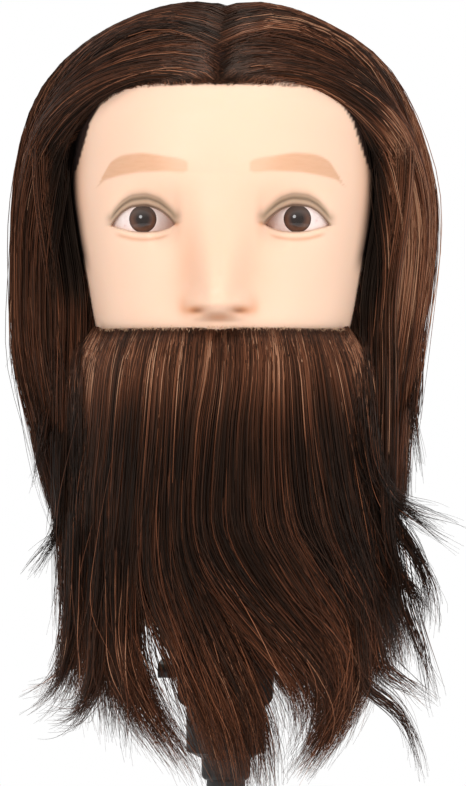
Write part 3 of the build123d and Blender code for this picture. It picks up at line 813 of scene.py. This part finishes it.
def beard_hair(count, rng):
    """Moustache and beard: strands from the lip that each follow the wandering locks beside them."""
    x0 = rng.uniform(-57, 57, count)
    layer = rng.uniform(0, 1, count) ** 1.2
    on_line = rng.uniform(0, 1, count) < 0.55
    corner = 1.5 * ease(np.abs(x0), 52, 57)
    line_z = MOUSTACHE_Z - 0.3 + corner - 0.9 * np.exp(-(x0 / 5) ** 2)
    z0 = np.where(on_line, line_z - np.abs(rng.normal(0, 0.7, count)), line_z - rng.uniform(2, 42, count))
    place = np.interp(x0, LOCK_X[:, 0], np.arange(len(LOCK_X)))  # in locks from the left
    end = np.interp(place, np.arange(len(LOCK_X)), LOCK_TIP) - 6 + np.abs(rng.normal(0, 24, count))
    end = end + 30 * layer * rng.uniform(0, 1, count)
    s = np.linspace(0, 1, 40)[None, :]
    z = z0[:, None] + (end - z0)[:, None] * s
    tight = 0.75 * ease(-z, -190, -95)  # the strands leave the gaps between locks towards the tips
    spread = rng.normal(0, 1, count)[:, None] * np.interp(z, [70, 190, 262, 278], [4.6, 1.9, 1.4, 0.3])
    x = between_locks(place, z, tight) + spread
    scale = 1.0 - 0.14 * layer[:, None] * ease(s, 0, 0.25)
    scale = np.where(on_line[:, None], scale, scale * (0.93 + 0.07 * ease(s, 0, 0.3)))
    paths = resample(beard_point(x, z, scale))
    key = np.stack([x0 / 12, layer * 0.3], -1)
    paths, _ = gather(paths, key, 300, 0.5, 0.2, rng)
    lock = np.round(place * 3).astype(int)  # a third of a lock shares a tone
    paths = waver(paths, rng, 3.0, 2.6, 0.5)  # the lower half is less well combed
    return waver(waver(paths, rng, 1.6, 1.4), rng, 0.7, 4.0), lock


# Locks whose tips stray from the mass: strands, half width at the start, then (x, z) down the lock
FLICKS = [
    (210, 8, (60, 245), (64, 216), (73, 203), (86, 194), (102, 185)),
    (130, 6, (62, 232), (68, 203), (78, 188), (87, 176), (94, 158), (92, 142)),
    (130, 7, (68, 215), (70, 192), (74, 174), (83, 162), (90, 152), (89, 144)),
    (45, 6, (78, 186), (83, 153), (89, 137), (94, 119), (97, 108)),
    (70, 6, (58, 160), (61, 122), (72, 112), (82, 101), (87, 88), (89, 76)),
    (60, 6, (66, 150), (72, 126), (84, 116), (94, 108)),
    (70, 5, (-72, 230), (-73, 200), (-75, 186), (-80, 177), (-88, 165)),
    (60, 5, (-80, 262), (-81, 236), (-83, 222), (-86, 206)),
    (150, 8, (-62, 190), (-64, 150), (-67, 135), (-71, 123), (-78, 113), (-87, 108)),
    (120, 8, (-50, 180), (-53, 142), (-54, 128), (-59, 113), (-67, 103), (-77, 101)),
    (110, 7, (-42, 175), (-43, 140), (-42, 125), (-38, 109), (-39, 94)),
    (80, 5, (-92, 320), (-95, 290), (-97, 270), (-96, 254)),
    (60, 5, (86, 300), (88, 262), (87, 236), (90, 214)),
]


def flicks(rng):
    """Strands that follow a lock for different lengths, so that it thins out to a point."""
    found = []
    t = np.linspace(0, 1, 30)
    for count, half_width, *places in FLICKS:
        places = np.array(places, float)
        along = np.linspace(0, 1, len(places))
        x, z = smooth_table(t, along, places[:, 0]), smooth_table(t, along, places[:, 1])
        for row in (x, z) * 4:
            row[1:-1] = 0.25 * row[:-2] + 0.5 * row[1:-1] + 0.25 * row[2:]
        half = column(HAIR, z, 1)
        on_side = (column(HAIR, z, 3) + column(HAIR, z, 4)) / 2
        on_side = on_side - 30 * np.sqrt(np.clip(1 - (x / (half + 4)) ** 2, 0.02, 1))
        on_beard = -4 - 98 * np.sqrt(1 - (np.minimum(np.abs(x), 76) / 84) ** 2)
        y = on_beard + (on_side - on_beard) * ease(z, 225, 260)
        guide = np.stack([x, y, z], -1)
        length = 1 - 0.5 * rng.uniform(0, 1, count) ** 1.6
        place = t[None, :] * length[:, None]
        points = np.stack([np.interp(place, t, guide[:, axis]) for axis in range(3)], -1)
        offset = rng.normal(0, 0.5, (count, 1, 3)) * half_width * (1.15 - place[..., None])
        fan = rng.normal(0, 1, (count, 1, 3)) * ease(place, 0.5, 1.0)[..., None] * half_width * 0.55
        found.append(resample(points + offset + fan + np.array([0, 3.0, 0])))
    paths = np.concatenate(found)
    return waver(paths, rng, 1.6, 1.3, 0.2), np.zeros(len(paths), int)


def stray(paths, rng, share, far):
    """Lets some strands stand off the rest in long loose curves."""
    loose = rng.uniform(0, 1, len(paths)) < share
    count = int(loose.sum())
    t = np.linspace(0, 1, paths.shape[1])[None, :, None]
    away = paths[loose] - AXIS
    away[..., 2] = 0
    push = rng.uniform(0.2, 1.0, (count, 1, 1)) * far * ease(t, 0.1, 1)
    paths[loose] = waver(paths[loose] + unit(away) * push, rng, far * 0.9, 1.2)
    return paths


def strand_piece(name, paths, width, colour, material):
    """Closed three-sided strands that taper to a tip. The colour is a place in the palette."""
    count = len(paths)
    tangent = unit(np.gradient(paths, axis=1))
    outward = paths - AXIS
    outward[..., 2] = 0
    side = unit(np.cross(tangent, outward + 1e-3))
    lift = np.cross(side, tangent)
    t = np.linspace(0, 1, K)[None, :, None]
    taper = (0.35 + 0.65 * ease(t, 0, 0.04)) * (1 - 0.75 * ease(t, 0.65, 1.0))
    radius = width[:, None, None] / 2 * taper
    rings = []
    for corner in range(3):
        a = 2 * np.pi * corner / 3 + 0.4
        rings.append(paths + radius * (np.cos(a) * side + np.sin(a) * lift))
    verts = np.stack(rings, 2).reshape(-1, 3)
    per = 3 * K  # vertices of one strand
    one = grid_faces(K, 3)
    ends = [[2, 1, 0], [per - 3, per - 2, per - 1]]
    one = np.concatenate([one[:, [0, 1, 2]], one[:, [0, 2, 3]], ends])
    faces = (one[None] + per * np.arange(count)[:, None, None]).reshape(-1, 3)
    obj = make_mesh(name, verts, faces)
    layer = obj.data.uv_layers.new(name=UV)
    along = np.repeat(np.linspace(0.02, 0.98, K), 3)
    tone = np.broadcast_to(np.reshape(colour, (count, -1)), (count, K))
    u = ((np.repeat(tone, 3, axis=1) + 0.5) / len(HAIR_COLOURS))[:, one].ravel()
    v = np.tile(along[one].ravel(), count)
    layer.data.foreach_set("uv", np.stack([u, v], -1).astype(np.float32).ravel())
    dress(obj, material)
    return obj


def pick_colours(paths, lock, rng, tone, shade):
    """Place in the palette for each point: alike within a lock, and shifted by height and side, which on the
    side hair is painted light and shade.
    """
    count = len(paths)
    own = tone + 0.9 * rng.normal(0, 1, lock.max() + 1)[lock] + rng.normal(0, 1.25, count)
    bright = rng.uniform(0, 1, count) < 0.05
    own = np.where(bright, tone + 2.4 + rng.uniform(0, 2.0, count), np.clip(own, 0.6, 6.6))
    t = np.linspace(0, 1, K)[None, :]
    phase, speed = rng.uniform(0, 6.3, (count, 1)), rng.uniform(1.0, 3.5, (count, 1))
    along = 0.8 * np.sin(phase + 6.3 * speed * t)  # breaks up long even streaks
    return np.clip(own[:, None] + along + shade(paths), 0.4, 9.0)


def side_light_and_shade(paths):
    """Side hair: painted light on its right and on the crown's right, paler on the outer left, and painted
    shadow, darkest, behind the face's edge.
    """
    x, y, z = paths[..., 0], paths[..., 1], paths[..., 2]
    below_crown = 1 - ease(z, 372, 396)
    # painted light on the right side, high and low
    right = 4.3 * ease(x, 66, 80) * ease(z, 262, 292) * below_crown
    right += 2.2 * ease(x, 60, 74) * ease(z, 190, 220) * (1 - ease(z, 262, 292))
    left = 1.5 * ease(-x, 77, 88) * ease(z, 230, 280) * below_crown
    # painted light on the crown's right
    crown = 1.5 * ease(x, 0, 24) * ease(z, 380, 394)
    edge = np.where(x < 0, 3.5, 0)  # the painted shadow strip is wider on the left
    beside_face = ease(z, 284, 304) * (1 - ease(z, 352, 366)) * (y < 0)
    # painted shadow on the strands behind the face's edge
    hidden = -4.5 * (1 - ease(np.abs(x), 69 + edge, 77 + edge)) * beside_face
    return right + left + crown + hidden


def beard_shade(paths):
    """Beard: pale where it springs from the lip, darker halfway down."""
    z = paths[..., 2]
    upper = 2.3 * ease(z, 228, 258) - 0.7 * ease(z, 268, 277)
    middle = -0.9 * ease(z, 150, 180) * (1 - ease(z, 215, 238))
    return upper + middle + 1.2 * (1 - ease(z, 130, 160))


def hair_pieces(name, hair, rng, tone, shade, replaced, material, width=(0.30, 0.46)):
    """Splits one kind of hair into pieces, because the export thins a mesh of 200,000 triangles."""
    paths, lock = hair
    limit = 1200  # strands in a piece, of 152 triangles each
    colour = pick_colours(paths, lock, rng, tone, shade)
    widths = rng.uniform(*width, len(paths))
    order = np.argsort(paths[:, 8, 1])
    for number, start in enumerate(range(0, len(order), limit)):
        chosen = order[start:start + limit]
        piece = strand_piece(f"{name}_{number + 1}", paths[chosen], widths[chosen], colour[chosen], material)
        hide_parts(*replaced)


def cheek_hair(side, count, rng):
    """Strands that hang beside the face, cover the ears and join the beard. Their darkness is painted shade.
    """
    t = np.linspace(0, 1, 20)[None, :]
    out = rng.uniform(0, 1, count)[:, None]
    z = 358 + rng.normal(0, 3, count)[:, None] - rng.uniform(150, 215, count)[:, None] * t
    half = np.maximum(column(HEAD, z, 1), 62)
    x = 0.965 * half + 1.0 + 17 * out**1.3 + 1.5 * np.sin(3 * t) ** 2
    y = -40 + rng.uniform(0, 1, count)[:, None] * (8 + 20 * out)
    y = y - 26 * (1 - out) * ease(-z, -285, -250)  # the innermost ones reach forward to the beard
    paths = resample(np.stack([side * x, y, z], -1))
    return waver(paths, rng, 1.2, 1.2), np.zeros(count, int)


def whiskers(side, count, rng):
    """Hair along the edge of the lower cheek that falls into the beard's upper corner."""
    root_z = 277 + 28 * rng.uniform(0, 1, count) ** 1.4
    across = rng.uniform(0.95, 0.998, count)
    root_x, root_y = head_point(np.arcsin(across), root_z)
    t = np.linspace(0, 1, 20)[None, :]
    z = root_z[:, None] - rng.uniform(40, 110, count)[:, None] * t
    x = root_x[:, None] + rng.uniform(1, 11, count)[:, None] * ease(t, 0, 0.6)
    on_beard = beard_point(np.minimum(x, 0.95 * smooth_table(z, BEARD_Z, BEARD_HALF)), z, 0.98)[..., 1]
    y = root_y[:, None] - 1.2 + (on_beard - root_y[:, None]) * ease(t, 0, 0.4)
    paths = resample(np.stack([side * x, y, z], -1))
    return waver(paths, rng, 1.5, 1.4), np.zeros(count, int)


def moustache_roots(count, rng, material):
    """Short pale roots along the top of the moustache."""
    s = np.linspace(0, 1, K)[None, :]
    x = rng.uniform(-56, 56, count)
    z = MOUSTACHE_Z - 0.1 + rng.normal(0, 0.3, count)
    length = rng.uniform(0.6, 1.8, count)
    x = x[:, None] + rng.normal(0, 0.8, count)[:, None] * s
    points = beard_point(x, z[:, None] - length[:, None] * s, 1.002 + 0.01 * s)
    strand_piece("moustache_roots", points, np.full(count, 0.18), np.full(count, 9.6), material)


def hairline_roots(count, rng, material):
    """Short roots of many shades along the front hairline."""
    s = np.linspace(0, 1, K)[None, :]
    x = rng.uniform(-52, 52, count)
    z = hairline_z(np.abs(x)) - 0.6 + rng.normal(0, 0.3, count)
    z = z[:, None] + rng.uniform(1.2, 3.0, count)[:, None] * s
    x = x[:, None] * (1 + 0.03 * s) + rng.normal(0, 0.5, count)[:, None] * s
    y = head_point(np.arcsin(x / column(HEAD, z, 1)), z)[1] - 0.5
    tone = rng.uniform(3, 8.4, count)
    strand_piece("hairline_roots", np.stack([x, y, z], -1), np.full(count, 0.17), tone, material)


def hair_shade_underlay(material):
    """Inner layer of the hair, a closed curtain that keeps light from showing through. Its near-black colour
    is painted shade.
    """
    angles = np.linspace(1.32, 2 * np.pi - 1.32, 90)
    angles = np.where(angles > np.pi, angles - 2 * np.pi, angles)[None, :]
    heights = np.concatenate([np.linspace(215, 360, 24), np.linspace(366, 424, 16)])[:, None]
    nearer = np.where(heights < 360, 0, 0.06)  # over the crown it lies nearer the surface
    outer, inner = (hair_point(angles, heights, scale + nearer) for scale in (0.84, 0.80))
    sheet = closed_sheet("hair_shade_underlay", outer, inner, heights.size, angles.size)
    dress(sheet, material)


def beard_shade_underlay(material):
    """The same under the beard, also painted shade."""
    rows, cols = 26, 50
    z = np.linspace(150, MOUSTACHE_Z - 3, rows)[:, None] + np.zeros((1, cols))
    x = np.linspace(-1, 1, cols)[None, :] * np.interp(z, [150, 200, 278], [40, 64, 56])
    outer, inner = beard_point(x, z, 0.9), beard_point(x, z, 0.87)
    dress(closed_sheet("beard_shade_underlay", outer, inner, rows, cols), material)


def build_hair():
    """All hair from one random sequence, so the order of the calls matters."""
    rng = np.random.default_rng(7)
    strands, dark = hair_material(), hair_shade_material()
    # near-black sheets of painted shade inside the hair and the beard
    hair_shade_underlay(dark)
    beard_shade_underlay(dark)
    for side, name in ((-1, "left"), (1, "right")):
        paths, lock = side_hair(side, 6800, rng)
        hair = stray(paths, rng, 0.05, 3), lock
        replaced = [f"hair_{name}"]
        hair_pieces(f"strands_{name}", hair, rng, 3.3, side_light_and_shade, [*replaced, "hair_back"], strands)
        hair = hairline_hair(side, 2300, rng)
        hair_pieces(f"hairline_{name}", hair, rng, 3.2, side_light_and_shade, replaced, strands)
        hair = cheek_hair(side, 700, rng)
        # a low tone: part of the painted shade beside the face
        hair_pieces(f"cheek_{name}", hair, rng, 2.6, side_light_and_shade, replaced, strands)
        hair = whiskers(side, 450, rng)
        hair_pieces(f"whiskers_{name}", hair, rng, 2.8, beard_shade, ["beard"], strands)
    paths, lock = beard_hair(8000, rng)
    hair = stray(paths, rng, 0.025, 8), lock
    hair_pieces("beard_strands", hair, rng, 3.0, beard_shade, ["beard"], strands)
    hair_pieces("flicks", flicks(rng), rng, 3.4, beard_shade, ["beard"], strands, (0.26, 0.42))
    moustache_roots(260, rng, strands)
    hairline_roots(260, rng, strands)


# ---------------------------------------------------------------- stand
MOULDED = {  # paler worn colour, own colour, roughness, fineness of the grain
    "black_plastic": (srgb(64, 62, 60), srgb(22, 21, 21), 0.36, 600.0),
    "frame_paint": (srgb(60, 60, 62), srgb(24, 24, 26), 0.48, 1400.0),
    "pad_rubber": (srgb(46, 46, 46), srgb(18, 18, 18), 0.7, 900.0),
    "nylon": (srgb(222, 218, 204), srgb(206, 200, 184), 0.42, 600.0),
    "foam": (srgb(236, 228, 204), srgb(222, 210, 180), 0.9, 300.0),
}
METALS = {"steel": (srgb(190, 190, 194), 0.28), "brass": (srgb(214, 178, 106), 0.3)}


def build_stand():
    """The stand's pieces stay as the design made them and get their materials here."""
    looks = {name: moulded_material(name, *values) for name, values in MOULDED.items()}
    looks.update({name: metal_material(name, *values) for name, values in METALS.items()})
    for entry in frame["record"]["subparts"]:
        look = looks.get(entry["material_slot"])
        node = frame["nodes"][entry["node"]]
        if look is not None and not node.hide_render:
            node.data.materials.clear()
            dress(node, look)


# ---------------------------------------------------------------- camera, light and stage
def area_light(name, place, target, size, power, seen):
    """A soft lamp. When it is not seen, it leaves no reflection."""
    data = bpy.data.lights.new(name, "AREA")
    data.shape = "ELLIPSE"
    data.size, data.size_y = size
    data.energy = power
    obj = bpy.data.objects.new(name, data)
    bpy.context.scene.collection.objects.link(obj)
    obj.visible_glossy = seen
    obj.location = place
    obj.rotation_euler = (Vector(target) - Vector(place)).to_track_quat("-Z", "Y").to_euler()


def studio_world():
    """White to the camera, and half as bright where it lights the object."""
    world = bpy.data.worlds.new("studio")
    world.use_nodes = True
    tree = world.node_tree
    ray = tree.nodes.new("ShaderNodeLightPath")
    seen = tree.nodes.new("ShaderNodeMapRange")
    tree.links.new(ray.outputs["Is Camera Ray"], seen.inputs[0])
    seen.inputs[3].default_value = 0.5
    seen.inputs[4].default_value = 1.0
    tree.links.new(seen.outputs[0], tree.nodes["Background"].inputs[1])
    tree.nodes["Background"].inputs[0].default_value = (1, 1, 1, 1)
    return world


LAMPS = [  # name, place and target in metres, size, power, leaves a reflection
    ("key", (-0.42, -1.5, 0.72), (0, 0, 0.28), (0.47, 0.47), 4.6, True),
    ("front", (0.1, -1.9, 0.26), (0, 0, 0.26), (1.6, 1.0), 7.1, False),
    ("right", (1.2, -1.1, 0.36), (0, 0, 0.27), (0.8, 1.0), 10.2, False),
    ("left", (-1.2, -1.1, 0.33), (0, 0, 0.27), (0.7, 1.0), 6.5, False),
    ("top", (0.05, -0.1, 1.3), (0, 0, 0.35), (0.8, 0.6), 4, True),
]


def build_stage():
    """A pale round floor under the stand, and soft studio light."""
    scene = bpy.context.scene
    scene.view_settings.view_transform = "Standard"
    scene.world = studio_world()
    place = (0, 0, START_BOUNDS[0].z - 0.001)
    bpy.ops.mesh.primitive_circle_add(vertices=96, radius=1.1, fill_type="NGON", location=place)
    floor = bpy.context.object
    floor.name = "floor"
    m = Nodes("floor")
    m.set(Base_Color=(0.9, 0.9, 0.9, 1), Roughness=0.6)
    floor.data.materials.append(m.material)
    for lamp in LAMPS:
        area_light(*lamp)


def build_camera():
    """A long lens level with the beard, two degrees round to the face's right."""
    distance, azimuth, height = 1500.0, math.radians(2.0), 248.4
    span = 345.8  # height of the picture at the face
    data = bpy.data.cameras.new("camera")
    data.sensor_fit = "VERTICAL"
    data.sensor_height = 36.0
    data.lens = data.sensor_height * distance / span
    data.shift_x = 3.08 / span  # the face stands 3 mm left of the picture's middle
    data.clip_end = 50
    camera = bpy.data.objects.new("camera", data)
    bpy.context.scene.collection.objects.link(camera)
    far = distance - FACE_Y
    place = Vector((math.sin(azimuth) * far, -math.cos(azimuth) * far, height)) * MM
    camera.location = place
    target = Vector((0, 0, height)) * MM
    camera.rotation_euler = (target - place).to_track_quat("-Z", "Y").to_euler()
    bpy.context.scene.camera = camera


skin = build_head()
build_ears(skin.data.materials[0])
build_eyes()
build_hair()
build_stand()
build_stage()
build_camera()
